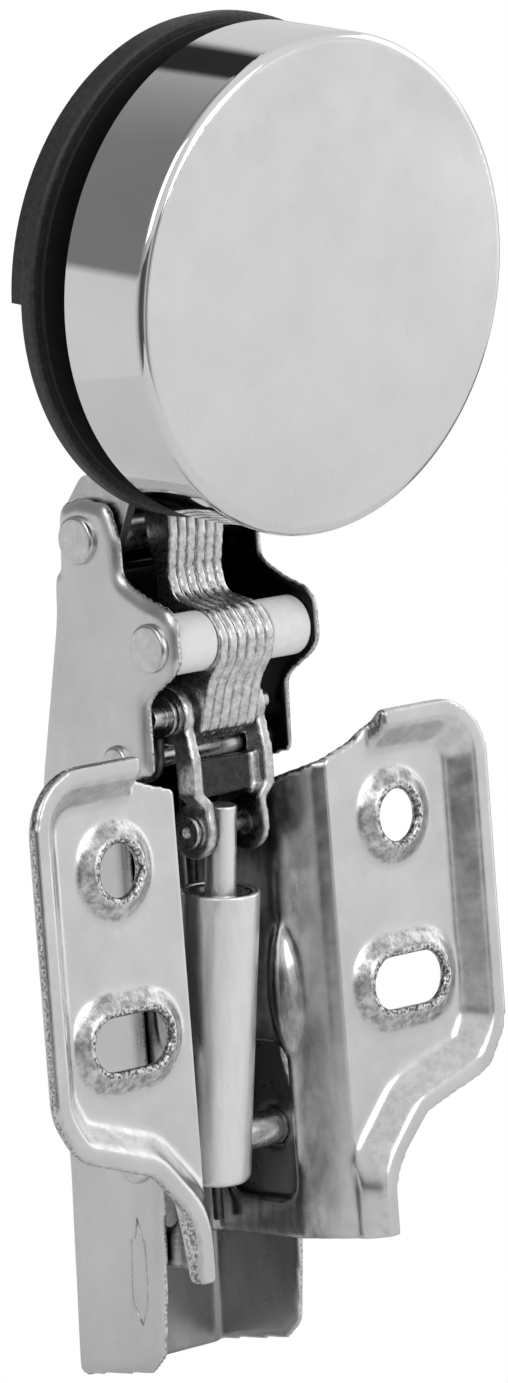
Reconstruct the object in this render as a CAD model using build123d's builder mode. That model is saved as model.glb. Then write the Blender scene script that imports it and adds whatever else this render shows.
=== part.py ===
"""Concealed hinge for a glass door: wing plate, channel arm, two links, clamp cup with cap, and damper.

Millimetres. +X runs along the pivot pins, +Z up the arm towards the cup, and the panel that the hinge
is screwed to fills Y < 0. The origin lies on the panel face, midway between the two round screw holes.
The door stands fully open, at its stop.
"""

import os
from math import cos, radians, sin

from build123d import *

os.makedirs("parts", exist_ok=True)

# --- driving dimensions -----------------------------------------------------------------------------
running_gap = 0.05        # radial play of a pivot in its hole
side_gap = 0.1            # play between flat sheets that slide past each other

# wing plate, pressed from one sheet
plate_sheet = 1.0
screw_spacing = 32.0      # between the two round holes, and between the two slots
slot_drop = 14.0          # slots below the round holes
screw_hole_radius = 2.2
slot_straight = 3.9       # straight part of each slot
dimple_radius = 4.2       # foot of the raised seat round each hole
dimple_height = 1.05
dimple_slope = 55         # of the seat's wall, from the screw's axis
rim_depth = 2.1           # panel face to wing floor
wing_half_width = 25.9
wing_top = 9.2
wing_inner_top = 5.6      # top edge of the wing next to the fold
wing_bottom = -34.9
wing_side_bottom = -19.0
tail_half_width = 11.6
fold_half_width = 9.4     # outside of the fold, at the wing floor
throat_depth = 7.0        # where the slanted walls reach the arm

# arm, a channel open towards the panel
arm_sheet = 0.95
arm_half_width = 8.5
arm_bottom = -45.0
web_top = 22.9            # the channel's back stops here and two ears go on

# fixed pivots on the arm, as (Y, Z)
outer_pivot = (11.46, 25.89)
inner_pivot = (3.75, 17.10)
spring_pivot = (8.73, 7.50)
damper_pivot = (10.37, -25.64)
pivot_radius = 1.5
spring_pin_radius = 1.0
rivet_head_radius = 2.05
rivet_head_height = 0.5

# inner link, a stack of plates
plate_count = 6
plate_pitch = 1.033
plate_thickness = 0.98
spacer_radius = 2.5

# outer link, a bent sheet with two cheeks and a back
outer_link_sheet = 0.9

# cup: depth is measured from the back of its flange towards the cap, drop from its centre down the arm
door_tilt = 8.25          # degrees past square at the open stop
cup_y, cup_z = 3.87, 47.98
neck_radius = 17.4
cap_overlap = 3.1         # the cap is this much wider than the neck
cap_radius = neck_radius + cap_overlap
cap_height = 9.0
cap_sheet = 0.8
cap_edge_radius = 0.9
glass_gap = 3.5           # between cap rim and flange
flange_radius = cap_radius + 0.3
flange_thick = 2.8
flange_step = 1.3         # the half next to the arm is this much lower
flange_step_drop = 1.5
gasket_thickness = 0.5
outer_pin_depth, outer_pin_drop = 6.4, 7.5
inner_pin_depth, inner_pin_drop = 3.0, 11.0
outer_pin_radius = 1.2
inner_pin_radius = 1.1
inner_pin_sweep = 2.3     # how far the inner pin wanders in its slot as the door turns
inner_pin_sway = 0.43     # and how far across it
pocket_depth = 10.0
pocket_drop = 15.9        # lower end of the pocket in the flange
pocket_rise = 13.5        # upper end of the pocket
centre_lane = 3.45        # half width of the lane for the inner link
lane_drop = 16.4          # lower end of that lane
rib_outside = 6.05        # ribs between the lanes carry the inner pin
pocket_half_width = 7.75
cap_screw_spacing = pocket_half_width + neck_radius - 0.55

# damper and the two links that pull it
tail_pivot = (6.8, 10.9)
rod_pivot = (6.0, 1.12)
damper_tilt = 7.57        # degrees, foot towards the back
rod_radius = 1.3
rod_above_pivot = 1.9
damper_top_radius = 3.35
damper_foot_radius = 2.95
damper_top_drop = 5.3     # along the axis, from the rod pivot
damper_foot_margin = 3.2  # foot below the rear pin
damper_bore_radius = 2.55
damper_bore_length = 15.5
piston_drop = 17.0
piston_length = 2.2
link_sheet = 1.05
link_wide_inside = 3.55   # inner face of each damper link beside the laminated tail
link_narrow_inside = 2.4  # and beside the damper rod
tail_pin_radius = 1.2
rod_pin_radius = 0.65
rod_pin_play = 0.44       # the open pivot of the damper chain

# closing springs
wire_radius = 0.45
coil_radius = 1.6         # to the middle of the wire
coil_pitch = 0.8
spring_leg_x = 5.3
spring_leg_y = 15.6
spring_leg_end = -33.6
leg_bend = 2.5
tail_clearance = 1.8      # wire end below the tail pin's middle

# adjusting screws in the arm's back
depth_screw_z = -22.0
depth_screw_radius = 2.0
depth_head_radius = 3.3
side_screw_z = -6.0
side_screw_radius = 2.5
screw_head_top = 20.45
side_screw_sink = 1.15    # the side screw's end lies this much deeper


# --- helpers ------------------------------------------------------------------------------------------
def depth_plane(y):
    """Plane facing the panel at depth y: its axes are X and Z, and it extrudes towards the panel."""
    return Plane.XZ.offset(-y)


def outline(corners):
    """Closed outline from (u, v, corner radius) triples."""
    return FilletPolyline(*[(u, v) for u, v, _ in corners], radius=[r for _, _, r in corners], close=True)


def finish(builder, name):
    builder.part.label = name
    export_step(builder.part, f"parts/{name}.step")


cap_normal = (-cos(radians(door_tilt)), -sin(radians(door_tilt)))
cup_down = (sin(radians(door_tilt)), -cos(radians(door_tilt)))


def cup_point(depth, drop):
    """(Y, Z) of a point of the cup."""
    return (
        cup_y + depth * cap_normal[0] + drop * cup_down[0],
        cup_z + depth * cap_normal[1] + drop * cup_down[1],
    )


def cup_plane(depth):
    """Plane across the cup at this depth: its axes are X and up the door, and it extrudes to the cap."""
    y, z = cup_point(depth, 0)
    normal = (0, cap_normal[0], cap_normal[1])
    return Plane(origin=(0, y, z), x_dir=(1, 0, 0), z_dir=normal)


outer_pin = cup_point(outer_pin_depth, outer_pin_drop)
inner_pin = cup_point(inner_pin_depth, inner_pin_drop)

arm_inside = arm_half_width - arm_sheet
wall_outside = arm_inside - 1.5 * side_gap
wall_inside = wall_outside - plate_sheet
cheek_outside = arm_inside - 2.5 * side_gap
cheek_inside = cheek_outside - outer_link_sheet
stack_half_width = plate_count * plate_pitch / 2

# --- wing plate ---------------------------------------------------------------------------------------
plate_back = 17.9
wing_start = fold_half_width - 0.8
rim_edge = 1.5            # flat front edge of the rim
jog = 13.9                # the rim starts here along the top edge
rim_line = [
    (jog, wing_top, 0),
    (wing_half_width, wing_top, 5.4),
    (wing_half_width, wing_side_bottom, 4.8),
    (23.6, -22.7, 4.0),
    (15.6, -25.2, -3.0),
    (tail_half_width, -29.6, -4.5),
    (tail_half_width, wing_bottom - 4, 0),
]


def rim_inset(distance):
    """The rim's outer line moved inwards; a negative radius marks a hollow corner, which grows."""
    moved = []
    for i, (x, z, radius) in enumerate(rim_line):
        x0, z0, _ = rim_line[max(i - 1, 0)]
        x1, z1, _ = rim_line[min(i + 1, len(rim_line) - 1)]
        before = Vector(x - x0, z - z0) if i else Vector(x1 - x, z1 - z)
        after = Vector(x1 - x, z1 - z) if (x1, z1) != (x, z) else before
        n0, n1 = before.normalized().rotate(Axis.Z, -90), after.normalized().rotate(Axis.Z, -90)
        shift = (n0 + n1) * (distance / (1 + n0.dot(n1)))
        new_radius = abs(radius - distance) if radius else 0
        moved.append((x + shift.X, z + shift.Y, new_radius))
    return moved


def wing_outline(side, inset, inner_corners):
    """Outline of a wing whose rim is moved inwards, closed through the corners next to the fold."""
    corners = rim_inset(inset) + inner_corners
    return outline([(side * x, z, r) for x, z, r in corners])


wing_inner = [(wing_start, wing_bottom - 4, 0), (wing_start, wing_inner_top, 0), (jog - 0.5, 7.1, 0)]
floor_inner = [(wing_start - 4, wing_bottom - 4, 0), (wing_start - 4, wing_top + 5, 0), (jog, wing_top + 5, 0)]
fold_radius = 1.8
dent_x, dent_y, dent_z = 6.5, 6.8, -13.6   # stiffening dent pressed into each slanted wall
dent_reach = 1.35
dent_length = 12.0
dent_steps = [(0.62, -0.33), (0.9, -0.17), (1.0, -0.05), (1.0, 0.05), (0.9, 0.17), (0.62, 0.33)]
fold_reach = 10.6         # the folds' sheet runs this far under the wings


def channel_half(side):
    """Right or left half of the plate's channel section: wing stub, slanted wall, side wall and back."""
    lean = (fold_half_width - wall_outside) / (throat_depth - rim_depth)
    inner_fold = fold_half_width - plate_sheet
    outer_fold = fold_half_width - plate_sheet * lean
    corners = [
        (0, plate_back - plate_sheet, 0),
        (wall_inside, plate_back - plate_sheet, 0.8),
        (wall_inside, throat_depth, 4.0),
        (inner_fold, rim_depth, fold_radius),
        (fold_reach, rim_depth, 0),
        (fold_reach, rim_depth + plate_sheet, 0),
        (outer_fold, rim_depth + plate_sheet, fold_radius - plate_sheet),
        (wall_outside, throat_depth, 3.0),
        (wall_outside, plate_back, 1.8),
        (0, plate_back, 0),
    ]
    return outline([(side * x, y, r) for x, y, r in corners])


with BuildPart() as dent:
    with BuildSketch(Plane.XZ):
        with BuildLine():
            Polyline(
                (0, -dent_length / 2),
                *[(dent_reach * reach, dent_length * place) for reach, place in dent_steps],
                (0, dent_length / 2),
                close=True,
            )
        make_face()
    revolve(axis=Axis.Z)

with BuildPart() as base_plate:
    with BuildSketch(Plane.XY.offset(wing_bottom)):
        for side in (1, -1):
            with BuildLine():
                channel_half(side)
            make_face()
    extrude(amount=wing_inner_top - wing_bottom)
    with BuildSketch(Plane.YZ):
        with BuildLine():
            outline(
                [
                    (rim_depth, wing_inner_top, 0),
                    (3.0, wing_inner_top, 1.0),
                    (6.9, 4.2, 2.0),
                    (12.4, 3.4, 2.0),
                    (15.4, 0.4, 2.0),
                    (plate_back, 0.4, 0),
                    (plate_back, wing_bottom, 0),
                    (rim_depth, wing_bottom, 0),
                ]
            )
        make_face()
    extrude(amount=fold_half_width, both=True, mode=Mode.INTERSECT)
    with BuildSketch(Plane.YZ):
        with Locations((11.2, -24.9)):
            RectangleRounded(8.0, 13.2, 1.6)
    extrude(amount=fold_half_width, both=True, mode=Mode.SUBTRACT)
    for side in (1, -1):
        with BuildSketch(depth_plane(rim_depth + plate_sheet)):
            with BuildLine():
                wing_outline(side, rim_depth, wing_inner)
            make_face()
        with BuildSketch(depth_plane(plate_sheet)):
            with BuildLine():
                wing_outline(side, 0, wing_inner)
            make_face()
        loft(ruled=True)
        with BuildSketch(depth_plane(plate_sheet)):
            with BuildLine():
                wing_outline(side, 0, wing_inner)
            make_face()
        extrude(amount=plate_sheet)
        with BuildSketch(depth_plane(rim_depth)):
            with BuildLine():
                wing_outline(side, rim_edge + rim_depth, floor_inner)
            make_face()
        with BuildSketch(depth_plane(0)):
            with BuildLine():
                wing_outline(side, rim_edge, floor_inner)
            make_face()
        loft(ruled=True, mode=Mode.SUBTRACT)
        add(dent.part.moved(Location((side * dent_x, dent_y, dent_z))))
    with BuildSketch(Plane.XY.offset(wing_bottom)):
        Rectangle(4 * wing_half_width, 60)
    extrude(amount=-10, mode=Mode.SUBTRACT)
    with BuildSketch(depth_plane(rim_depth)):
        with GridLocations(screw_spacing, 0, 2, 1):
            Circle(dimple_radius)
        with Locations((-screw_spacing / 2, -slot_drop), (screw_spacing / 2, -slot_drop)):
            SlotCenterToCenter(slot_straight, 2 * dimple_radius)
    extrude(amount=dimple_height, taper=dimple_slope)
    with BuildSketch(depth_plane(rim_depth + plate_sheet)):
        with GridLocations(screw_spacing, 0, 2, 1):
            Circle(dimple_radius - 0.3)
        with Locations((-screw_spacing / 2, -slot_drop), (screw_spacing / 2, -slot_drop)):
            SlotCenterToCenter(slot_straight, 2 * (dimple_radius - 0.3))
    extrude(amount=dimple_height, taper=dimple_slope, mode=Mode.SUBTRACT)
    with BuildSketch(depth_plane(rim_depth + plate_sheet)):
        with GridLocations(screw_spacing, 0, 2, 1):
            Circle(screw_hole_radius)
        with Locations((-screw_spacing / 2, -slot_drop), (screw_spacing / 2, -slot_drop)):
            SlotCenterToCenter(slot_straight, 2 * screw_hole_radius)
    extrude(amount=rim_depth + plate_sheet, mode=Mode.SUBTRACT)
    with BuildSketch(depth_plane(plate_back)):
        with Locations((0, depth_screw_z)):
            Circle(depth_screw_radius + running_gap)
        with Locations((0, side_screw_z)):
            Circle(side_screw_radius + running_gap)
    extrude(amount=2 * plate_sheet, mode=Mode.SUBTRACT)
finish(base_plate, "base_plate")

# --- arm ----------------------------------------------------------------------------------------------
arm_back = [(20.0, arm_bottom), (19.2, -27.0), (19.5, 1.5), (18.6, 6.6), (15.6, 19.2), (15.3, web_top)]
arm_side = [
    (20.0, arm_bottom, 0.6),
    (19.2, -27.0, 40.0),
    (19.5, 1.5, 18.0),
    (18.6, 6.6, 14.0),
    (15.6, 19.2, 14.0),
    (15.3, web_top, 0.3),
    (14.6, web_top + 0.5, 0.3),
    (14.2, 28.8, 1.6),
    (11.6, 29.6, 3.0),
    (7.9, 29.1, 1.6),
    (6.9, 26.0, 3.0),
    (6.8, 22.8, 1.2),
    (4.2, 21.4, 1.6),
    (0.7, 20.2, 2.4),
    (0.5, 15.2, 2.6),
    (4.7, 12.6, 1.6),
    (4.9, 6.3, 0.7),
    (8.6, 5.5, 0.8),
    (8.5, -19.5, 1.6),
    (7.4, -22.6, 2.5),
    (7.4, -27.6, 12.0),
    (8.2, -36.5, 14.0),
    (8.9, -42.5, 1.4),
    (10.7, -44.1, 1.4),
]

with BuildPart() as arm:
    with BuildSketch(Plane.YZ):
        with BuildLine():
            outline(arm_side)
        make_face()
    extrude(amount=arm_half_width, both=True)
    back_edges = arm.edges().filter_by(lambda e: abs(abs(e.center().X) - arm_half_width) < 0.01)
    back_edges = back_edges.filter_by(lambda e: e.center().Y > 15 and -44 < e.center().Z < web_top)
    fillet(back_edges, 1.3)
    with BuildSketch(Plane.YZ):
        with BuildLine():
            Polyline(
                (-5, arm_bottom - 1),
                *[(y - arm_sheet, z) for y, z in arm_back],
                (25, web_top),
                (25, 35),
                (-5, 35),
                close=True,
            )
        make_face()
    extrude(amount=arm_inside, both=True, mode=Mode.SUBTRACT)
    with BuildSketch(Plane.YZ):
        with Locations(outer_pivot, inner_pivot, damper_pivot):
            Circle(pivot_radius + running_gap)
        with Locations(spring_pivot):
            Circle(spring_pin_radius + running_gap)
    extrude(amount=arm_half_width, both=True, mode=Mode.SUBTRACT)
    with BuildSketch(depth_plane(screw_head_top + 0.55)):
        with Locations((0, depth_screw_z)):
            SlotCenterToCenter(4.0, 2 * (depth_screw_radius + 0.1), rotation=90)
        with Locations((0, side_screw_z)):
            Circle(side_screw_radius + running_gap)
        with Locations((0, 12.0)):
            SlotCenterToCenter(3.0, 5.0, rotation=90)
    extrude(amount=5, mode=Mode.SUBTRACT)
finish(arm, "arm")


# --- fixed pins, spacers and springs ------------------------------------------------------------------
def rivet(name, centre, radius, head_radius):
    """Pin across the arm with a low domed head on each cheek."""
    with BuildPart() as pin:
        with BuildSketch(Plane.YZ.offset(-arm_half_width)):
            with Locations(centre):
                Circle(radius)
        extrude(amount=2 * arm_half_width)
        for side in (1, -1):
            with BuildSketch(Plane.YZ.offset(side * arm_half_width)):
                with Locations(centre):
                    Circle(head_radius)
            extrude(amount=side * rivet_head_height)
        fillet(pin.faces().sort_by(Axis.X)[-1].edges(), 0.35)
        fillet(pin.faces().sort_by(Axis.X)[0].edges(), 0.35)
    finish(pin, name)


rivet("outer_link_pin", outer_pivot, pivot_radius, rivet_head_radius)
rivet("inner_link_pin", inner_pivot, pivot_radius, rivet_head_radius)
rivet("spring_pin", spring_pivot, spring_pin_radius, 1.45)
rivet("rear_pin", damper_pivot, pivot_radius, rivet_head_radius)

for side, name in ((-1, "left"), (1, "right")):
    with BuildPart() as spacer:
        with BuildSketch(Plane.YZ.offset(side * (stack_half_width + side_gap))):
            with Locations(inner_pivot):
                Circle(spacer_radius)
                Circle(pivot_radius + running_gap, mode=Mode.SUBTRACT)
        extrude(amount=side * (arm_inside - stack_half_width - 1.5 * side_gap))
    finish(spacer, f"spacer_{name}")

coil_y, coil_z = spring_pivot
coil_bottom = coil_z - coil_radius
leg_y = coil_y - coil_radius
spring_tip_x = spring_leg_x + coil_pitch
for side, name in ((-1, "left"), (1, "right")):
    x = side * spring_leg_x
    with BuildPart() as closing_spring:
        with BuildLine() as wire:
            FilletPolyline(
                (x, spring_leg_y, spring_leg_end),
                (x, spring_leg_y, coil_bottom),
                (x, coil_y, coil_bottom),
                radius=leg_bend,
            )
            ThreePointArc(
                (x, coil_y, coil_bottom),
                (x, coil_y - coil_radius * cos(radians(45)), coil_z - coil_radius * sin(radians(45))),
                (x, leg_y, coil_z),
            )
            Line((x, leg_y, coil_z), (x, leg_y, tail_pivot[1] - tail_clearance))
        with BuildSketch(Plane(origin=wire.line @ 0, z_dir=wire.line % 0)):
            Circle(wire_radius)
        sweep(path=wire.line)
        with Locations((side * spring_tip_x, coil_y, coil_z)):
            Torus(coil_radius, wire_radius, rotation=(0, 90, 0))
    finish(closing_spring, f"closing_spring_{name}")

# --- inner link: plates between the arm and the inner pin of the cup ------------------------------------
slot_radius = inner_pin_radius + inner_pin_sway + 0.13
eye_y, eye_z = inner_pin[0] - 0.05, inner_pin[1] + 0.07 - inner_pin_sweep / 2
inner_link_side = [
    (4.2, 9.3, 1.0),
    (2.9, 13.3, 4.0),
    (1.35, 15.3, 2.0),
    (0.95, 17.6, 2.2),
    (2.5, 19.6, 1.6),
    (6.2, 20.5, 1.2),
    (6.7, 22.6, 1.8),
    (6.15, 25.6, 6.0),
    (6.1, 28.8, 6.0),
    (5.2, 33.5, 1.0),
    (eye_y, eye_z, 0),
    (4.2, 38.3, 0.6),
    (8.9, 33.2, 3.0),
    (9.35, 27.0, 12.0),
    (8.3, 22.0, 8.0),
    (9.1, 12.4, 1.5),
    (7.2, 9.0, 0.5),
]
for index in range(plate_count):
    with BuildPart() as plate:
        with BuildSketch(Plane.YZ.offset((index + 0.5) * plate_pitch - stack_half_width)):
            with BuildLine():
                outline(inner_link_side)
            make_face()
            with Locations(tail_pivot):
                Circle(2.5)
            with Locations((eye_y, eye_z)):
                SlotCenterToCenter(inner_pin_sweep, 2 * (slot_radius + 0.9), rotation=90)
                SlotCenterToCenter(inner_pin_sweep, 2 * slot_radius, rotation=90, mode=Mode.SUBTRACT)
            with Locations(inner_pivot):
                Circle(pivot_radius + running_gap, mode=Mode.SUBTRACT)
            with Locations(tail_pivot):
                Circle(tail_pin_radius + 0.02, mode=Mode.SUBTRACT)
        extrude(amount=plate_thickness / 2, both=True)
    finish(plate, f"inner_link_plate_{index + 1}")

with BuildPart() as tail_pin:
    with BuildSketch(Plane.YZ):
        with Locations(tail_pivot):
            Circle(tail_pin_radius)
    extrude(amount=link_wide_inside + link_sheet + side_gap, both=True)
    with BuildSketch(Plane.YZ):
        with Locations(tail_pivot):
            Circle(0.9)
    extrude(amount=spring_tip_x + wire_radius, both=True)
    for side in (1, -1):
        with BuildSketch(Plane.YZ.offset(side * (link_wide_inside + link_sheet + side_gap))):
            with Locations(tail_pivot):
                Circle(1.65)
        extrude(amount=side * 0.4)
finish(tail_pin, "tail_pin")

# --- outer link: two cheeks and a back ------------------------------------------------------------------
outer_link_cheek = [
    (8.9, 24.2, 1.0),
    (7.5, 26.4, 2.0),
    (6.0, 29.4, 6.0),
    (2.9, 36.6, 6.0),
    (outer_pin[0], outer_pin[1], 0),
    (0.2, 41.2, 1.0),
    (4.5, 37.3, 6.0),
    (9.3, 31.6, 1.6),
    (11.9, 31.0, 1.4),
    (14.3, 28.2, 1.6),
    (14.0, 25.4, 1.0),
]
with BuildPart() as outer_link:
    with BuildSketch(Plane.YZ) as outer_link_outline:
        with BuildLine():
            outline(outer_link_cheek)
        make_face()
        with Locations(outer_pivot):
            Circle(3.0)
        with Locations(outer_pin):
            Circle(2.3)
    extrude(amount=cheek_outside, both=True)
    with BuildSketch(Plane.YZ):
        with BuildLine():
            Polyline(
                (13.3, 26.4),
                (13.3, 27.9),
                (11.3, 30.1),
                (10.3, 31.0),
                (10.3, 45),
                (-10, 45),
                (-10, 26.4),
                close=True,
            )
        make_face()
        with Locations((0, 0)):
            Rectangle(60, 2 * 26.4)
    extrude(amount=cheek_inside, both=True, mode=Mode.SUBTRACT)
    with BuildSketch(Plane.YZ):
        with Locations(outer_pivot):
            Circle(pivot_radius + running_gap)
        with Locations(outer_pin):
            Circle(outer_pin_radius + running_gap)
    extrude(amount=cheek_outside, both=True, mode=Mode.SUBTRACT)
finish(outer_link, "outer_link")

# --- damper link: two stepped side bars and a mid plate ---------------------------------------------------
step_low, step_high = 3.4, 4.5
mid_plate_y = 6.0 - link_sheet / 2
with BuildPart() as damper_link:
    for side in (1, -1):
        with BuildSketch(depth_plane(9.6)):
            with BuildLine():
                Polyline(
                    (side * link_narrow_inside, -2),
                    (side * link_narrow_inside, step_low),
                    (side * link_wide_inside, step_high),
                    (side * link_wide_inside, 14),
                    (side * (link_wide_inside + link_sheet), 14),
                    (side * (link_wide_inside + link_sheet), step_high - 0.3),
                    (side * (link_narrow_inside + link_sheet), step_low - 0.3),
                    (side * (link_narrow_inside + link_sheet), -2),
                    close=True,
                )
            make_face()
        extrude(amount=7)
    with BuildSketch(Plane.YZ):
        with BuildLine():
            Polyline(
                (3.72, 1.4),
                (3.95, 4.2),
                (3.95, 7.4),
                (4.5, 9.9),
                tail_pivot,
                (6.0, 8.7),
                (6.0, 3.0),
                rod_pivot,
                close=True,
            )
        make_face()
        with Locations(tail_pivot):
            Circle(2.5)
        with Locations(rod_pivot):
            Circle(2.3)
    extrude(amount=10, both=True, mode=Mode.INTERSECT)
    with BuildSketch(Plane.XY.offset(3.9)):
        with Locations((0, mid_plate_y)):
            Rectangle(2 * link_narrow_inside + link_sheet, link_sheet)
    extrude(amount=0.6)
    with BuildSketch(Plane.XY.offset(step_high)):
        with Locations((0, mid_plate_y)):
            Rectangle(2 * link_wide_inside + link_sheet, link_sheet)
    extrude(amount=2.5)
    with BuildSketch(Plane.YZ):
        with Locations(tail_pivot):
            Circle(tail_pin_radius + running_gap)
        with Locations(rod_pivot):
            Circle(rod_pin_radius + rod_pin_play)
    extrude(amount=10, both=True, mode=Mode.SUBTRACT)
finish(damper_link, "damper_link")

# --- damper -----------------------------------------------------------------------------------------------
tilt = radians(damper_tilt)
damper_plane = Plane(origin=(0, *rod_pivot), x_dir=(1, 0, 0), z_dir=(0, -cos(tilt), -sin(tilt)))
damper_axis = Axis((0, *rod_pivot), (0, -sin(tilt), cos(tilt)))
damper_pin_drop = (damper_pivot[0] - rod_pivot[0]) * sin(tilt) - (damper_pivot[1] - rod_pivot[1]) * cos(tilt)
damper_foot = -damper_pin_drop - damper_foot_margin
lid_seat = -damper_top_drop - 1.3

with BuildPart() as damper_cylinder:
    with BuildSketch(damper_plane):
        with BuildLine():
            outline(
                [
                    (damper_bore_radius, -damper_top_drop - damper_bore_length, 0),
                    (damper_bore_radius, lid_seat, 0),
                    (2.9, lid_seat, 0),
                    (2.9, -damper_top_drop, 0.2),
                    (damper_top_radius, -damper_top_drop, 0.25),
                    (damper_foot_radius, damper_foot, 0.8),
                    (0, damper_foot, 0),
                    (0, -damper_top_drop - damper_bore_length, 0),
                ]
            )
        make_face()
    revolve(axis=damper_axis)
    with BuildSketch(Plane.YZ):
        with Locations(damper_pivot):
            Circle(pivot_radius + 0.02)
    extrude(amount=5, both=True, mode=Mode.SUBTRACT)
finish(damper_cylinder, "damper_cylinder")

with BuildPart() as damper_lid:
    with BuildSketch(damper_plane):
        with BuildLine():
            outline(
                [
                    (rod_radius + running_gap, lid_seat, 0),
                    (2.88, lid_seat, 0),
                    (2.88, lid_seat + 1.2, 0.3),
                    (2.2, lid_seat + 1.2, 0.3),
                    (1.8, lid_seat + 0.7, 0.2),
                    (rod_radius + running_gap, lid_seat + 0.7, 0),
                ]
            )
        make_face()
    revolve(axis=damper_axis)
finish(damper_lid, "damper_lid")

with BuildPart() as damper_rod:
    with BuildSketch(damper_plane):
        with BuildLine():
            outline(
                [
                    (0, rod_above_pivot, 0),
                    (rod_radius, rod_above_pivot, 0.2),
                    (rod_radius, -piston_drop + piston_length / 2, 0),
                    (0, -piston_drop + piston_length / 2, 0),
                ]
            )
        make_face()
    revolve(axis=damper_axis)
    with BuildSketch(Plane.YZ):
        with Locations(rod_pivot):
            Circle(rod_pin_radius + 0.02)
    extrude(amount=5, both=True, mode=Mode.SUBTRACT)
finish(damper_rod, "damper_rod")

with BuildPart() as damper_piston:
    with BuildSketch(damper_plane):
        with Locations(((damper_bore_radius - running_gap) / 2, -piston_drop)):
            Rectangle(damper_bore_radius - running_gap, piston_length)
    revolve(axis=damper_axis)
finish(damper_piston, "damper_piston")

with BuildPart() as damper_rivet:
    with BuildSketch(Plane.YZ):
        with Locations(rod_pivot):
            Circle(rod_pin_radius)
    extrude(amount=link_narrow_inside + link_sheet + side_gap, both=True)
    for side in (1, -1):
        with BuildSketch(Plane.YZ.offset(side * (link_narrow_inside + link_sheet + side_gap))):
            with Locations(rod_pivot):
                Circle(1.35)
                Circle(0.45, mode=Mode.SUBTRACT)
        extrude(amount=side * 0.4)
finish(damper_rivet, "damper_rivet")

# --- cup --------------------------------------------------------------------------------------------
cap_back = flange_thick + glass_gap
cap_face = cap_back + cap_height
insert_face = cap_face - cap_sheet - 0.05
insert_floor = insert_face - 2.2
neck_end = insert_floor - 0.1
screw_head_radius = 2.7
screw_radius = 1.5
flange_upper_chord = 2 * flange_radius

with BuildPart() as cup_body:
    with BuildSketch(cup_plane(flange_step)):
        Circle(flange_radius)
    extrude(amount=flange_thick - flange_step)
    fillet(cup_body.edges().filter_by(GeomType.CIRCLE), 0.35)
    with BuildSketch(cup_plane(0)):
        Circle(flange_radius - 0.35)
        with Locations((0, -flange_step_drop - flange_radius)):
            Rectangle(flange_upper_chord, 2 * flange_radius, mode=Mode.SUBTRACT)
    extrude(amount=flange_step + 0.35)
    with BuildSketch(cup_plane(flange_thick - 0.3)):
        Circle(neck_radius)
    extrude(amount=neck_end - flange_thick + 0.3)
    with BuildSketch(cup_plane(-1)):
        with Locations((0, (pocket_rise - pocket_drop) / 2)):
            RectangleRounded(2 * pocket_half_width, pocket_rise + pocket_drop, 0.8)
    extrude(amount=flange_thick + 1, mode=Mode.SUBTRACT)
    with BuildSketch(cup_plane(flange_thick)):
        with Locations((0, (pocket_rise - pocket_drop + 0.9) / 2)):
            RectangleRounded(2 * pocket_half_width, pocket_rise + pocket_drop - 0.9, 1.5)
    extrude(amount=pocket_depth - flange_thick, mode=Mode.SUBTRACT)
    with BuildSketch(cup_plane(-1)):
        with Locations((0, -inner_pin_drop)):
            Rectangle(2 * centre_lane, 2 * (lane_drop - inner_pin_drop))
    extrude(amount=pocket_depth + 1, mode=Mode.SUBTRACT)
    for side in (1, -1):
        with BuildSketch(Plane.YZ.offset(side * centre_lane)):
            with BuildLine():
                Polyline(
                    cup_point(outer_pin_depth - 2.0, outer_pin_drop - 0.8),
                    cup_point(pocket_depth + 0.5, outer_pin_drop - 0.8),
                    cup_point(pocket_depth + 0.5, inner_pin_drop + 1.9),
                    cup_point(inner_pin_depth, inner_pin_drop + 1.9),
                    inner_pin,
                    close=True,
                )
            make_face()
            with Locations(inner_pin):
                Circle(1.9)
        extrude(amount=side * (rib_outside - centre_lane))
    with BuildSketch(Plane.YZ):
        with Locations(inner_pin):
            Circle(inner_pin_radius + 0.02)
    extrude(amount=rib_outside, both=True, mode=Mode.SUBTRACT)
    with BuildSketch(Plane.YZ):
        with Locations(outer_pin):
            Circle(outer_pin_radius + 0.02)
    extrude(amount=10.42, both=True, mode=Mode.SUBTRACT)
    with BuildSketch(cup_plane(0)):
        with GridLocations(cap_screw_spacing, 0, 2, 1):
            Circle(screw_radius + 0.1)
    extrude(amount=neck_end, mode=Mode.SUBTRACT)
    with BuildSketch(cup_plane(0)):
        with GridLocations(cap_screw_spacing, 0, 2, 1):
            Circle(screw_head_radius + 0.1)
    extrude(amount=1.8, mode=Mode.SUBTRACT)
finish(cup_body, "cup_body")

with BuildPart() as cap:
    with BuildSketch(cup_plane(cap_back)):
        Circle(cap_radius)
    extrude(amount=cap_height)
    fillet(cap.edges().sort_by(Axis.Y)[0], cap_edge_radius)
    with BuildSketch(cup_plane(cap_back)):
        Circle(cap_radius - cap_sheet)
    extrude(amount=cap_height - cap_sheet, mode=Mode.SUBTRACT)
finish(cap, "cap")

with BuildPart() as cap_insert:
    with BuildSketch(cup_plane(cap_back + 0.2)):
        Circle(cap_radius - cap_sheet - 0.05)
    extrude(amount=insert_face - cap_back - 0.2)
    with BuildSketch(cup_plane(cap_back)):
        Circle(neck_radius + 0.05)
    extrude(amount=insert_floor - cap_back, mode=Mode.SUBTRACT)
    with BuildSketch(cup_plane(insert_floor)):
        with GridLocations(cap_screw_spacing, 0, 2, 1):
            Circle(screw_radius + 0.02)
    extrude(amount=1.8, mode=Mode.SUBTRACT)
finish(cap_insert, "cap_insert")

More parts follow.
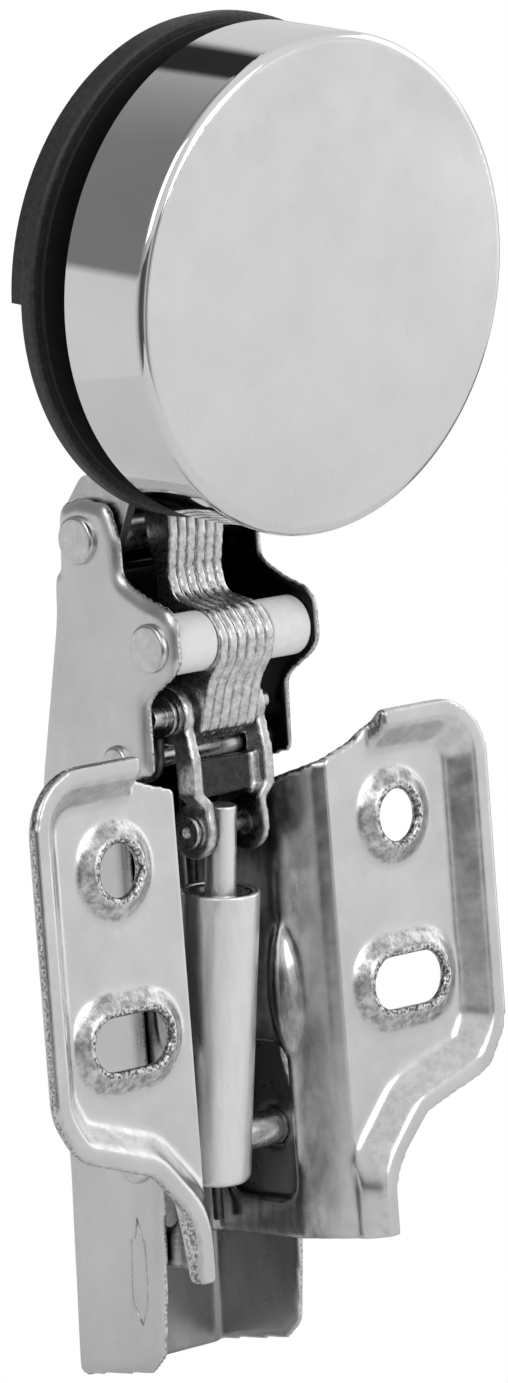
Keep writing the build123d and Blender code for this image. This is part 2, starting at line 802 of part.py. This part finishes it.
for side, name in ((-1, "left"), (1, "right")):
    with BuildPart() as cap_screw:
        with BuildSketch(cup_plane(0.15)):
            with Locations((side * cap_screw_spacing / 2, 0)):
                Circle(screw_head_radius)
        extrude(amount=1.6)
        with BuildSketch(cup_plane(1.7)):
            with Locations((side * cap_screw_spacing / 2, 0)):
                Circle(screw_radius)
        extrude(amount=insert_floor - 0.1)
        with BuildSketch(cup_plane(0)):
            with Locations((side * cap_screw_spacing / 2, 0)):
                Rectangle(3.4, 0.7)
                Rectangle(0.7, 3.4)
        extrude(amount=1.1, mode=Mode.SUBTRACT)
    finish(cap_screw, f"cap_screw_{name}")

    with BuildPart() as cup_pin_outer:
        with BuildSketch(Plane.YZ.offset(side * (rib_outside - 0.6))):
            with Locations(outer_pin):
                Circle(outer_pin_radius)
        extrude(amount=side * (10.4 - rib_outside + 0.6))
    finish(cup_pin_outer, f"cup_pin_outer_{name}")

with BuildPart() as cup_pin_inner:
    with BuildSketch(Plane.YZ):
        with Locations(inner_pin):
            Circle(inner_pin_radius)
    extrude(amount=rib_outside, both=True)
finish(cup_pin_inner, "cup_pin_inner")

for depth, name in ((flange_thick, "inner_gasket"), (cap_back - gasket_thickness, "outer_gasket")):
    with BuildPart() as gasket:
        with BuildSketch(cup_plane(depth)):
            Circle(cap_radius - 0.5)
            Circle(neck_radius + 0.1, mode=Mode.SUBTRACT)
        extrude(amount=gasket_thickness)
    finish(gasket, name)

# --- adjusting screws -----------------------------------------------------------------------------
with BuildPart() as depth_screw:
    with BuildSketch(depth_plane(screw_head_top)):
        with Locations((0, depth_screw_z)):
            Circle(depth_head_radius)
    extrude(amount=1.0)
    fillet(depth_screw.edges().sort_by(Axis.Y)[-1], 0.3)
    with BuildSketch(depth_plane(screw_head_top - 0.95)):
        with Locations((0, depth_screw_z)):
            Circle(depth_screw_radius)
    extrude(amount=4.6)
    with BuildSketch(depth_plane(screw_head_top + 0.05)):
        with Locations((0, depth_screw_z)):
            Rectangle(3.6, 0.8)
            Rectangle(0.8, 3.6)
    extrude(amount=1.3, mode=Mode.SUBTRACT)
finish(depth_screw, "depth_screw")

with BuildPart() as side_adjust_screw:
    with BuildSketch(depth_plane(screw_head_top - side_screw_sink)):
        with Locations((0, side_screw_z)):
            Circle(side_screw_radius)
    extrude(amount=3.6)
    with BuildSketch(depth_plane(screw_head_top - side_screw_sink + 0.1)):
        with Locations((0, side_screw_z)):
            Rectangle(3.2, 0.8)
            Rectangle(0.8, 3.2)
    extrude(amount=1.6, mode=Mode.SUBTRACT)
finish(side_adjust_screw, "side_adjust_screw")
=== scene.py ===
import math

import bmesh
import bpy
from mathutils import Matrix, Vector


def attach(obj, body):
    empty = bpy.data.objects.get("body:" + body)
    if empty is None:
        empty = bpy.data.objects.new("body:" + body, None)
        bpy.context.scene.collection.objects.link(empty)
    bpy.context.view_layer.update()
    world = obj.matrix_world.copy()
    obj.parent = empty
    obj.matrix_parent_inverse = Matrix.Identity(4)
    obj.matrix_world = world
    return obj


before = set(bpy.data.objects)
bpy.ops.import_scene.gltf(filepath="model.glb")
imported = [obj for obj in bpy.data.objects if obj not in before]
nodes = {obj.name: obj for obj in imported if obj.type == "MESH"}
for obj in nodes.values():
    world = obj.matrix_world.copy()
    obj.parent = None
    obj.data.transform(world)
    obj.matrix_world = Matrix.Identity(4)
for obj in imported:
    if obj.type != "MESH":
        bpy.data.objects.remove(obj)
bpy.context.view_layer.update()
MM = 0.001

# places on the plate that its wear follows, in millimetres
HOLE_X = 16
SLOT_Z = -14
SLOT_HALF = 1.95
WAVE_DEPTH = 0.00008

# the cap's face: the cup's axis leans by this angle, and the face starts this far out along it
CUP_TILT = math.radians(8.25)
CUP_CENTRE = (0, 3.87, 47.98)
FACE_FROM = 15.25

ARM_WALL_X = -8.49
FLOOR_HALF = 0.15
FLOOR_LEVEL = -0.0475


# --- materials ---------------------------------------------------------------------------------------
def in_scene(name, data):
    thing = bpy.data.objects.new(name, data)
    bpy.context.scene.collection.objects.link(thing)
    return thing


def new_material(name):
    material = bpy.data.materials.new(name)
    material.use_nodes = True
    tree = material.node_tree
    return material, tree, tree.nodes["Principled BSDF"]


def add(tree, kind, **values):
    node = tree.nodes.new(kind)
    for key, value in values.items():
        if key in node.inputs:
            node.inputs[key].default_value = value
        else:
            setattr(node, key, value)
    return node


def noise(tree, scale, detail=4.0, roughness=0.6, stretch=(1, 1, 1)):
    """Noise in object space; scale is per metre."""
    where = add(tree, "ShaderNodeTexCoord")
    mapping = add(tree, "ShaderNodeMapping", Scale=stretch)
    texture = add(tree, "ShaderNodeTexNoise", Scale=scale, Detail=detail, Roughness=roughness)
    tree.links.new(where.outputs["Object"], mapping.inputs["Vector"])
    tree.links.new(mapping.outputs["Vector"], texture.inputs["Vector"])
    return texture.outputs["Fac"]


def ramp(tree, source, stops):
    """Colour ramp through (position, grey) stops."""
    node = add(tree, "ShaderNodeValToRGB")
    elements = node.color_ramp.elements
    while len(elements) < len(stops):
        elements.new(0.5)
    for element, (position, grey) in zip(elements, stops):
        element.position = position
        element.color = (grey, grey, grey, 1)
    tree.links.new(source, node.inputs["Fac"])
    return node.outputs["Color"]


def bump(tree, shader, source, strength, distance):
    node = add(tree, "ShaderNodeBump", Strength=strength, Distance=distance)
    tree.links.new(source, node.inputs["Height"])
    tree.links.new(node.outputs["Normal"], shader.inputs["Normal"])


def mathed(tree, operation, *sources):
    """One math step; each source is a socket or a number."""
    node = add(tree, "ShaderNodeMath", operation=operation)
    for slot, source in zip(node.inputs, sources):
        if isinstance(source, (int, float)):
            slot.default_value = source
        else:
            tree.links.new(source, slot)
    return node.outputs["Value"]


def span(tree, source, start, end, low=0.0, high=1.0):
    node = add(tree, "ShaderNodeMapRange")
    for key, value in (("From Min", start), ("From Max", end), ("To Min", low), ("To Max", high)):
        node.inputs[key].default_value = value
    tree.links.new(source, node.inputs["Value"])
    return node.outputs["Result"]


def times(tree, first, second, factor=1.0):
    mix = add(tree, "ShaderNodeMix", data_type="RGBA", blend_type="MULTIPLY")
    for slot, source in ((0, factor), (6, first), (7, second)):
        if isinstance(source, (int, float)):
            mix.inputs[slot].default_value = source
        else:
            tree.links.new(source, mix.inputs[slot])
    return mix.outputs[2]


def sum_of_squares(tree, first, second):
    square = mathed(tree, "MULTIPLY", first, first)
    return mathed(tree, "MULTIPLY_ADD", second, second, square)


def place_and_facing(tree):
    """Object-space position and surface normal, each split into X, Y and Z sockets."""
    where = add(tree, "ShaderNodeTexCoord")
    place = add(tree, "ShaderNodeSeparateXYZ")
    facing = add(tree, "ShaderNodeSeparateXYZ")
    tree.links.new(where.outputs["Object"], place.inputs["Vector"])
    tree.links.new(where.outputs["Normal"], facing.inputs["Vector"])
    return place.outputs, facing.outputs


def seen_as(tree, lit, seen):
    """Shader that the camera sees as one thing, while every other ray meets the other."""
    light_path = add(tree, "ShaderNodeLightPath")
    mix = add(tree, "ShaderNodeMixShader")
    tree.links.new(light_path.outputs["Is Camera Ray"], mix.inputs["Fac"])
    tree.links.new(lit, mix.inputs[1])
    tree.links.new(seen, mix.inputs[2])
    return mix.outputs["Shader"]


def metal(name, dark, light, rough, scale=500, stretch=(1, 1, 1), dent=0.25, contrast=(0.35, 0.65)):
    """Plated steel: cloudy tone, uneven gloss and slight waviness."""
    material, tree, shader = new_material(name)
    shader.inputs["Metallic"].default_value = 1.0
    cloud = noise(tree, scale, 5.0, 0.6, stretch)
    tone = ramp(tree, cloud, [(contrast[0], dark), (contrast[1], light)])
    tree.links.new(tone, shader.inputs["Base Color"])
    gloss = ramp(tree, noise(tree, scale * 2.3, 3.0, 0.5, stretch), [(0.3, rough * 0.75), (0.75, rough * 1.35)])
    tree.links.new(gloss, shader.inputs["Roughness"])
    bump(tree, shader, noise(tree, scale * 1.4, 2.0, 0.5, stretch), dent, 0.00006)
    return material


def plastic(name, dark, light, rough, scale, dent, distance=0.0001):
    material, tree, shader = new_material(name)
    grain = noise(tree, scale, 4.0, 0.6)
    tree.links.new(ramp(tree, grain, [(0.35, dark), (0.7, light)]), shader.inputs["Base Color"])
    shader.inputs["Roughness"].default_value = rough
    bump(tree, shader, grain, dent, distance)
    return material


link_steel = metal("link_steel", 0.52, 0.86, 0.3, 1700, (1, 1, 1), 0.6)
dark_steel = metal("dark_steel", 0.05, 0.14, 0.4, 900, (1, 1, 1), 0.3)
pin_steel = metal("pin_steel", 0.62, 0.74, 0.28, 900, (1, 1, 1), 0.2)
tube_steel = metal("tube_steel", 0.84, 0.92, 0.36, 1200, (1, 1, 0.12), 0.12)
cap_chrome = metal("cap_chrome", 0.76, 0.79, 0.055, 120, (1, 1, 1), 0.05)
cap_face = metal("cap_face", 0.74, 0.78, 0.32, 160, (1, 1, 1), 0.03)
black_plastic = plastic("black_plastic", 0.018, 0.045, 0.5, 2200, 0.5)
white_plastic = plastic("white_plastic", 0.86, 0.93, 0.4, 900, 0.08)
gasket_rubber = plastic("gasket_rubber", 0.008, 0.016, 0.7, 1500, 0.3)


def link_bars():
    """Damper link: bright worn bars, with painted shade darkening the plate between them."""
    material = metal("bar_steel", 0.46, 0.76, 0.3, 1700, dent=0.5)
    tree = material.node_tree
    shader = tree.nodes["Principled BSDF"]
    tone = shader.inputs["Base Color"].links[0].from_socket
    place, _ = place_and_facing(tree)
    across = mathed(tree, "ABSOLUTE", place["X"])
    # painted shade: the plate between the bars, under 2.3 mm from the middle, is darkened to 0.09 of its tone
    painted_shade = ramp(tree, span(tree, across, 2.3 * MM, 3.3 * MM), [(0.3, 0.09), (0.7, 1.0)])
    tree.links.new(times(tree, tone, painted_shade), shader.inputs["Base Color"])
    return material


def wing_plate():
    """Pressed plate: satin floor, scuffed seats, painted dark reflection mottling the bends, speckled shear edges,
    painted shade in the channel.
    """
    material, tree, shader = new_material("plate_steel")
    shader.inputs["Metallic"].default_value = 1.0
    place, facing = place_and_facing(tree)
    x = mathed(tree, "ABSOLUTE", place["X"])
    y, z = place["Y"], place["Z"]
    towards = mathed(tree, "ABSOLUTE", facing["Y"])
    outside = span(tree, x, 9.3 * MM, 9.9 * MM)
    edge = mathed(tree, "MULTIPLY", outside, span(tree, towards, 0.35, 0.15))
    bend = mathed(tree, "MULTIPLY", outside, span(tree, towards, 0.97, 0.9))
    deep = mathed(tree, "MULTIPLY", span(tree, x, 9.6 * MM, 9.0 * MM), span(tree, y, 2.6 * MM, 5.5 * MM))
    reach = mathed(tree, "ABSOLUTE", mathed(tree, "SUBTRACT", x, HOLE_X * MM))
    slotted = mathed(tree, "MAXIMUM", mathed(tree, "SUBTRACT", reach, SLOT_HALF * MM), 0.0)
    to_hole = mathed(tree, "SQRT", sum_of_squares(tree, reach, z))
    to_slot = mathed(tree, "SQRT", sum_of_squares(tree, slotted, mathed(tree, "SUBTRACT", z, SLOT_Z * MM)))
    nearest = mathed(tree, "MINIMUM", to_hole, to_slot)
    seat = mathed(tree, "MULTIPLY", bend, span(tree, nearest, 4.8 * MM, 4.4 * MM))
    lip = span(tree, nearest, 2.95 * MM, 2.6 * MM)
    floor = ramp(tree, noise(tree, 190, 5.0, 0.6), [(0.35, 0.66), (0.65, 0.74)])
    worn = ramp(tree, noise(tree, 1300, 5.0, 0.7), [(0.38, 0.45), (0.6, 1.0)])
    burr = ramp(tree, noise(tree, 3800, 4.0, 0.6), [(0.43, 0.2), (0.55, 1.15)])
    # painted dark reflection: the bends' tone is mottled down to 0.86
    bend_painted_reflection = ramp(tree, noise(tree, 900, 5.0, 0.65), [(0.4, 0.86), (0.58, 1.02)])
    speck = ramp(tree, noise(tree, 3400, 4.0, 0.6), [(0.42, 0.35), (0.56, 1.1)])
    # painted shade: the channel's inner faces, under 9 mm from the middle and over 5.5 mm deep, darken to 0.3–0.95 in
    # stretched mottles
    channel_shade = ramp(tree, noise(tree, 380, 5.0, 0.65, (1, 1, 0.4)), [(0.36, 0.3), (0.64, 0.95)])
    tone = times(tree, floor, bend_painted_reflection, bend)
    tone = times(tree, tone, worn, seat)
    tone = times(tree, tone, burr, lip)
    tone = times(tree, tone, speck, edge)
    tone = times(tree, tone, channel_shade, deep)
    tree.links.new(tone, shader.inputs["Base Color"])
    tree.links.new(ramp(tree, noise(tree, 500, 3.0), [(0.3, 0.18), (0.75, 0.3)]), shader.inputs["Roughness"])
    grit = mathed(tree, "MULTIPLY", noise(tree, 2600, 4.0, 0.6), edge)
    wave = mathed(tree, "MULTIPLY_ADD", noise(tree, 260, 2.0, 0.5), 0.5, grit)
    wave = mathed(tree, "MULTIPLY_ADD", noise(tree, 1500, 3.0, 0.6), mathed(tree, "MULTIPLY", seat, 0.5), wave)
    bump(tree, shader, wave, 0.5, WAVE_DEPTH)
    return material


def channel_arm():
    """Arm: satin outside, speckled shear edges, painted shade inside that pales towards the open end."""
    material, tree, shader = new_material("arm_steel")
    shader.inputs["Metallic"].default_value = 1.0
    place, facing = place_and_facing(tree)
    x = mathed(tree, "ABSOLUTE", place["X"])
    outwards = mathed(tree, "MULTIPLY", place["X"], facing["X"])
    sideways = mathed(tree, "ABSOLUTE", facing["X"])
    cheek = span(tree, outwards, -5 * MM, -6.8 * MM)
    web = mathed(tree, "MULTIPLY", span(tree, facing["Y"], -0.4, -0.7), span(tree, x, 7.6 * MM, 7.3 * MM))
    web = mathed(tree, "MULTIPLY", web, span(tree, place["Y"], 11 * MM, 12 * MM))
    inside_shade_mask = mathed(tree, "MAXIMUM", cheek, web)
    edge = mathed(tree, "MULTIPLY", span(tree, x, 7.5 * MM, 7.65 * MM), span(tree, sideways, 0.55, 0.35))
    edge = mathed(tree, "MULTIPLY", edge, span(tree, facing["Y"], 0.5, 0.3))
    outer = ramp(tree, noise(tree, 150, 5.0, 0.6, (1, 1, 0.5)), [(0.35, 0.67), (0.65, 0.74)])
    # painted shade: the arm's inside faces darken from 0.42 at z −40 mm to 0.025 at z 4 mm, mottled by noise
    depth = ramp(tree, span(tree, place["Z"], -40 * MM, 4 * MM), [(0.0, 0.42), (1.0, 0.025)])
    inner = times(tree, depth, ramp(tree, noise(tree, 300, 5.0, 0.6, (1, 1, 0.4)), [(0.3, 0.75), (0.7, 1.1)]))
    speck = ramp(tree, noise(tree, 3600, 4.0, 0.6), [(0.42, 0.5), (0.56, 1.15)])
    mix = add(tree, "ShaderNodeMix", data_type="RGBA")
    tree.links.new(inside_shade_mask, mix.inputs["Factor"])
    tree.links.new(outer, mix.inputs[6])
    tree.links.new(inner, mix.inputs[7])
    tree.links.new(times(tree, mix.outputs[2], speck, edge), shader.inputs["Base Color"])
    tree.links.new(ramp(tree, noise(tree, 420, 3.0), [(0.3, 0.26), (0.75, 0.38)]), shader.inputs["Roughness"])
    grit = mathed(tree, "MULTIPLY", noise(tree, 2800, 4.0, 0.6), edge)
    bump(tree, shader, mathed(tree, "MULTIPLY_ADD", noise(tree, 200, 2.0, 0.5), 0.3, grit), 0.5, WAVE_DEPTH)
    return material


def bent_link():
    """Outer link: bright outer faces, painted shade darkening the inside faces."""
    material = metal("outer_steel", 0.52, 0.64, 0.3, 500, dent=0.25)
    tree = material.node_tree
    shader = tree.nodes["Principled BSDF"]
    tone = shader.inputs["Base Color"].links[0].from_socket
    place, facing = place_and_facing(tree)
    outwards = mathed(tree, "MULTIPLY", place["X"], facing["X"])
    away = mathed(tree, "MAXIMUM", span(tree, outwards, 0.5 * MM, 3 * MM), span(tree, facing["Y"], 0.2, 0.5))
    # painted shade: faces turned neither outwards nor backwards darken to 0.10 of the tone
    painted_shade = ramp(tree, away, [(0.0, 0.10), (1.0, 1.0)])
    tree.links.new(times(tree, tone, painted_shade), shader.inputs["Base Color"])
    return material


outer_steel = bent_link()
plate_steel = wing_plate()
bar_steel = link_bars()
arm_steel = channel_arm()

finish_of = {
    "base_plate": (plate_steel, 0.4),
    "arm": (arm_steel, 0.14),
    "outer_link": (outer_steel, 0.12),
    "damper_link": (bar_steel, 0.12),
    "outer_link_pin": (pin_steel, 0.0),
    "inner_link_pin": (pin_steel, 0.0),
    "spring_pin": (pin_steel, 0.0),
    "rear_pin": (pin_steel, 0.0),
    "tail_pin": (pin_steel, 0.12),
    "spacer_left": (white_plastic, 0.18),
    "spacer_right": (white_plastic, 0.18),
    "closing_spring_left": (dark_steel, 0.0),
    "closing_spring_right": (dark_steel, 0.0),
    "damper_cylinder": (tube_steel, 0.0),
    "damper_lid": (pin_steel, 0.0),
    "damper_rod": (tube_steel, 0.0),
    "damper_rivet": (pin_steel, 0.1),
    "damper_piston": (white_plastic, 0.1),
    "cup_body": (black_plastic, 0.15),
    "cap": (cap_chrome, 0.0),
    "cap_insert": (black_plastic, 0.15),
    "cap_screw_left": (pin_steel, 0.1),
    "cap_screw_right": (pin_steel, 0.1),
    "cup_pin_outer_left": (pin_steel, 0.1),
    "cup_pin_outer_right": (pin_steel, 0.1),
    "cup_pin_inner": (pin_steel, 0.1),
    "inner_gasket": (gasket_rubber, 0.1),
    "outer_gasket": (gasket_rubber, 0.1),
    "depth_screw": (pin_steel, 0.12),
    "side_adjust_screw": (pin_steel, 0.12),
}
for index in range(6):
    finish_of[f"inner_link_plate_{index + 1}"] = (link_steel, 0.12)


def shade_smooth(mesh):
    mesh.polygons.foreach_set("use_smooth", [True] * len(mesh.polygons))


def join_up(node):
    """Drops the tessellation's own normals and welds its facets."""
    mesh = node.data
    if "custom_normal" in mesh.attributes:
        mesh.attributes.remove(mesh.attributes["custom_normal"])
    weld = node.modifiers.new("weld", "WELD")
    weld.merge_threshold = 0.002 * MM


def round_edges(node, width, segments, degrees):
    bevel = node.modifiers.new("bevel", "BEVEL")
    bevel.width = width * MM
    bevel.segments = segments
    bevel.limit_method = "ANGLE"
    bevel.angle_limit = math.radians(degrees)
    bevel.harden_normals = True


def soften(node, width):
    """Small rounded edges and clean shading on a CAD node; its own vertices stay."""
    join_up(node)
    shade_smooth(node.data)
    flat = node.modifiers.new("flat", "DECIMATE")
    flat.decimate_type = "DISSOLVE"
    flat.angle_limit = math.radians(0.6)
    if width:
        round_edges(node, width, 2, 30)
    else:
        split = node.modifiers.new("split", "EDGE_SPLIT")
        split.split_angle = math.radians(35)


def press(node, grain, rounds):
    """Pressed sheet: modifiers roll every edge and bend over a little; the node's own mesh stays."""
    join_up(node)
    skin = node.modifiers.new("skin", "REMESH")
    skin.mode = "VOXEL"
    skin.voxel_size = grain * MM
    skin.use_smooth_shade = True
    roll = node.modifiers.new("roll", "SMOOTH")
    roll.factor = 0.5
    roll.iterations = rounds


pressed = {"base_plate": (0.3, 7), "arm": (0.34, 3), "damper_link": (0.2, 3)}
for index in range(6):
    pressed[f"inner_link_plate_{index + 1}"] = (0.2, 3)
for name, (material, width) in finish_of.items():
    nodes[name].data.materials.clear()
    nodes[name].data.materials.append(material)
    if name in pressed:
        press(nodes[name], *pressed[name])
    else:
        soften(nodes[name], width)


# --- cap: satin face on a mirror shell ------------------------------------------------------------------
cap_out = Vector((0, -math.cos(CUP_TILT), -math.sin(CUP_TILT)))
cup_centre = Vector(CUP_CENTRE) * MM
cap = nodes["cap"]
cap.data.materials.append(cap_face)
for polygon in cap.data.polygons:
    depth = (polygon.center - cup_centre).dot(cap_out)
    if depth > FACE_FROM * MM:
        polygon.material_index = 1

# --- lip below the outer link's back: a guess ---------------------------------------------------------------
# The photograph is dark here and doesn't show what is there. The solids have no lip.
def rolled_strip(name, profile, thick, half_width, material):
    """Sheet strip: the profile (y, z) in mm is thickened to its left and drawn across x."""
    points = [Vector(point) for point in profile]
    inner = []
    for index, point in enumerate(points):
        along = (points[min(index + 1, len(points) - 1)] - points[max(index - 1, 0)]).normalized()
        inner.append(point + Vector((along.y, -along.x)) * -thick)
    ring = points + inner[::-1]
    mesh = bpy.data.meshes.new(name)
    build = bmesh.new()
    ends = [[build.verts.new((x * MM, p.x * MM, p.y * MM)) for p in ring] for x in (-half_width, half_width)]
    count = len(ring)
    for index in range(count):
        following = (index + 1) % count
        build.faces.new((ends[0][index], ends[0][following], ends[1][following], ends[1][index]))
    build.faces.new(ends[0][::-1])
    build.faces.new(ends[1])
    bmesh.ops.recalc_face_normals(build, faces=build.faces)
    build.to_mesh(mesh)
    build.free()
    shade_smooth(mesh)
    mesh.materials.append(material)
    strip = in_scene(name, mesh)
    round_edges(strip, 0.2, 3, 50)
    return strip


lip = rolled_strip(
    "outer_link_lip",
    [(14.2, 27.4), (14.27, 26.8), (14.27, 26.1), (14.2, 25.4), (14.0, 24.7), (13.6, 24.1), (13.1, 23.6), (12.6, 23.3)],
    0.8, 6.42, outer_steel,
)
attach(lip, "outer_link")

# --- raised pointed outline pressed into the arm's left wall ------------------------------------------------
outline = [
    (10.75, -30.7), (11.2, -32.3), (11.7, -32.6), (11.85, -34.4), (12.0, -36.2), (12.0, -37.9), (11.5, -38.9),
    (11.0, -39.7), (10.6, -38.7), (10.3, -37.7), (10.2, -36.0), (10.1, -34.2), (10.1, -32.7), (10.4, -32.3),
]
curve = bpy.data.curves.new("raised_outline", "CURVE")
curve.dimensions = "3D"
curve.bevel_depth = 0.11 * MM
curve.bevel_resolution = 2
line = curve.splines.new("POLY")
line.points.add(len(outline) - 1)
for point, (y, z) in zip(line.points, outline):
    point.co = (ARM_WALL_X * MM, y * MM, z * MM, 1)
line.use_cyclic_u = True
mark = in_scene("raised_outline", curve)
curve.materials.append(arm_steel)
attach(mark, "base")

# --- camera -----------------------------------------------------------------------------------------------
camera_data = bpy.data.cameras.new("camera")
camera_data.sensor_width = 36.0
camera_data.lens = 196.088
camera_data.clip_start = 0.01
camera_data.clip_end = 20.0
camera = in_scene("camera", camera_data)
right = Vector((0.716108, -0.693916, -0.075301))
up = Vector((0.130454, 0.027078, 0.991085))
back = Vector((-0.685690, -0.719547, 0.109915))
camera.matrix_world = Matrix.Translation(Vector((-423.892, -443.971, 80.487)) * MM) @ Matrix(
    (right, up, back)
).transposed().to_4x4()
bpy.context.scene.camera = camera

# --- light ------------------------------------------------------------------------------------------------
# The world is a studio of light and dark bands that the metal reflects, placed for the photograph's view.
world = bpy.data.worlds.new("world")
bpy.context.scene.world = world
world.use_nodes = True
tree = world.node_tree
tree.nodes.clear()
output = add(tree, "ShaderNodeOutputWorld")
where = add(tree, "ShaderNodeTexCoord")
split = add(tree, "ShaderNodeSeparateXYZ")
tree.links.new(where.outputs["Generated"], split.inputs["Vector"])
towards_front = mathed(tree, "MULTIPLY", split.outputs["Y"], -1.0)
azimuth = mathed(tree, "ARCTAN2", split.outputs["X"], towards_front)
turn = mathed(tree, "MULTIPLY_ADD", azimuth, 0.5 / math.pi, 0.5)


def around(stops):
    """Brightness round the horizon: (degrees from the front, positive to the right; grey)."""
    return ramp(tree, turn, [(degrees / 360 + 0.5, grey) for degrees, grey in stops])


below = around(
    [
        (-180, 0.74), (-137, 0.78), (-100, 0.50), (-90, 0.26), (-74, 0.07), (-54, 0.10), (-42, 0.10), (-24, 0.66),
        (-12, 0.16), (6, 0.62), (26, 0.86), (62, 0.86), (84, 0.35), (104, 0.14), (130, 0.66), (180, 0.74),
    ]
)
above = around(
    [
        (-180, 0.36), (-150, 0.24), (-120, 0.22), (-80, 0.45), (-40, 0.80), (40, 0.90), (110, 0.80), (143, 0.78),
        (147, 0.03), (162, 0.03), (166, 0.44), (180, 0.36),
    ]
)
blend = add(tree, "ShaderNodeMix", data_type="RGBA")
tree.links.new(span(tree, split.outputs["Z"], 0.08, 0.13), blend.inputs["Factor"])
tree.links.new(below, blend.inputs[6])
tree.links.new(above, blend.inputs[7])
seen = add(tree, "ShaderNodeBackground", Strength=1.0)
seen.inputs["Color"].default_value = (1, 1, 1, 1)
lit = add(tree, "ShaderNodeBackground", Strength=0.92)
tree.links.new(blend.outputs[2], lit.inputs["Color"])
background = seen_as(tree, lit.outputs["Background"], seen.outputs["Background"])
tree.links.new(background, output.inputs["Surface"])


def softbox(name, place, target, size, power):
    data = bpy.data.lights.new(name, "AREA")
    data.shape = "RECTANGLE"
    data.size, data.size_y = size
    data.energy = power
    lamp = in_scene(name, data)
    lamp.location = Vector(place)
    lamp.rotation_euler = (Vector(target) - Vector(place)).to_track_quat("-Z", "Y").to_euler()


softbox("key", (-0.55, -0.15, 0.45), (0, 0, 0.01), (0.35, 0.5), 1.0)
softbox("front", (0.10, -0.70, 0.25), (0, 0, 0.01), (0.4, 0.4), 1.0)
softbox("side", (0.6, -0.1, 0.15), (0, 0, 0), (0.5, 0.6), 0.6)

# --- floor ------------------------------------------------------------------------------------------------
material, tree, shader = new_material("floor_white")
shader.inputs["Base Color"].default_value = (0.9, 0.9, 0.9, 1)
shader.inputs["Roughness"].default_value = 0.9
white = add(tree, "ShaderNodeEmission", Strength=1.0)
white.inputs["Color"].default_value = (1, 1, 1, 1)
pale = seen_as(tree, shader.outputs["BSDF"], white.outputs["Emission"])
tree.links.new(pale, tree.nodes["Material Output"].inputs["Surface"])
mesh = bpy.data.meshes.new("floor")
corners = [(-1, -1), (1, -1), (1, 1), (-1, 1)]
mesh.from_pydata([(x * FLOOR_HALF, y * FLOOR_HALF, FLOOR_LEVEL) for x, y in corners], [], [(0, 1, 2, 3)])
mesh.materials.append(material)
floor = in_scene("floor", mesh)

bpy.context.scene.view_settings.view_transform = "Standard"
